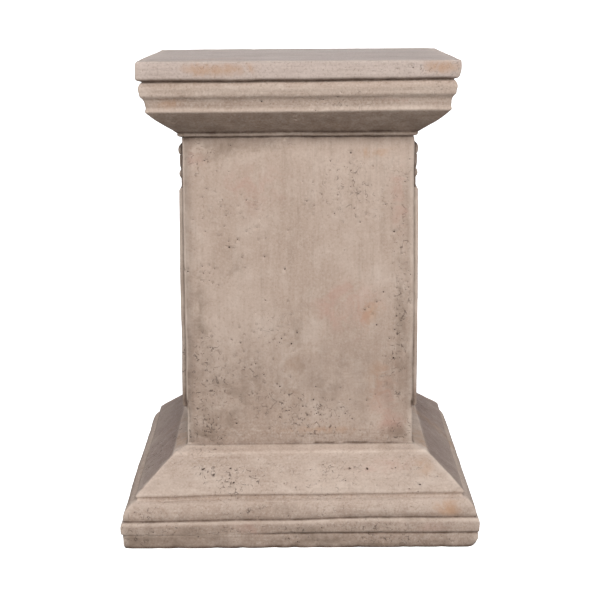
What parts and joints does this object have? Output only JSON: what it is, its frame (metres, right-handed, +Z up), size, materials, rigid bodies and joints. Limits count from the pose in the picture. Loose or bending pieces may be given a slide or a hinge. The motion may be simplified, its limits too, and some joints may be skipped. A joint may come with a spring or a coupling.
{
  "type": "display pedestal",
  "caption": "Square cast-stone display pedestal with a moulded base and cap, a plain shaft and low relief on its two sides, hollow and open underneath.",
  "frame": {"origin": "middle of the square plan, on the floor that the pedestal stands on", "axes": "+Z up, +X to the right of the plain front face, which looks towards -Y; the reliefs are on the +X and -X faces"},
  "size_m": [0.522, 0.522, 0.7],
  "materials": {
    "cast_stone": "matt warm beige cast stone with fine air pits, dark patina in the quirks and worn light arrises"
  },
  "bodies": {
    "root": {"pedestal": "cast_stone"}
  },
  "joints": []
}
